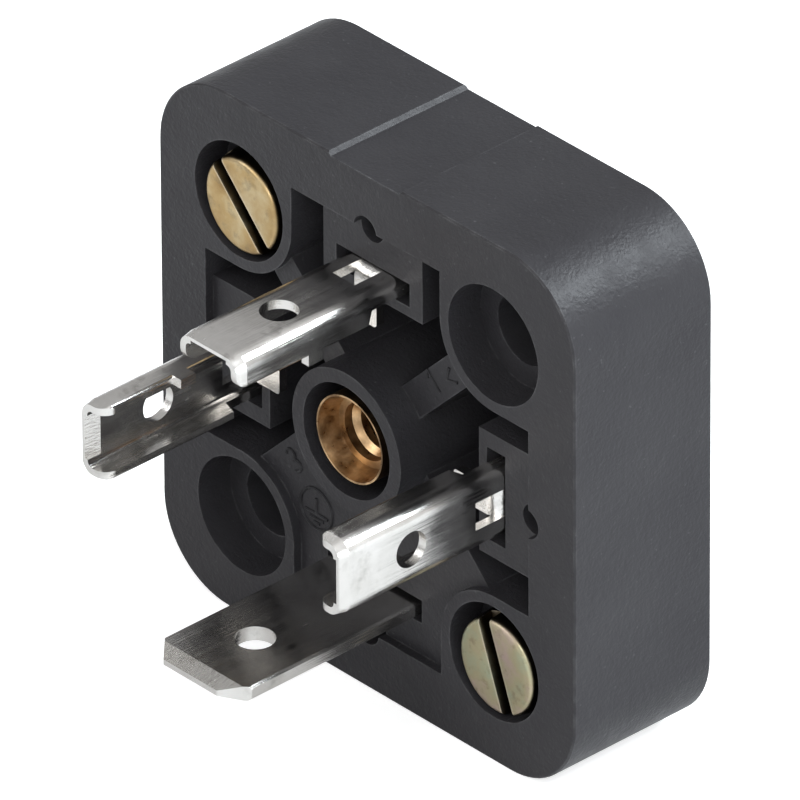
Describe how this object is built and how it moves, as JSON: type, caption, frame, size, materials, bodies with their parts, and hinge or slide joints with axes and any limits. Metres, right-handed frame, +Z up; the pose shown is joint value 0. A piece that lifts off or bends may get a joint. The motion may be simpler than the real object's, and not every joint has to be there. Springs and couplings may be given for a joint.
{
  "type": "panel mount appliance inlet",
  "caption": "Square moulded panel mount inlet with U-shaped line contacts, a flat earth blade, a threaded brass insert and slotted fixing screws.",
  "frame": {"origin": "centre of the flat rear seat, midway between the four fixing holes", "axes": "+Z up, +Y out of the rear seat through the panel, so the contacts stand out towards -Y"},
  "size_m": [0.0294, 0.0251, 0.0294],
  "materials": {
    "housing": "fine matte moulded black",
    "contact": "bright tin plate",
    "insert": "turned brass",
    "screw_upper": "zinc plate with a yellow chromate film",
    "screw_lower": "zinc plate with a pale iridescent chromate film"
  },
  "bodies": {
    "root": {"housing": "housing", "contact_top": "contact", "contact_left": "contact", "contact_right": "contact", "earth_contact": "contact", "threaded_insert": "insert", "fixing_screw_upper": "screw_upper", "fixing_screw_lower": "screw_lower"}
  },
  "joints": []
}
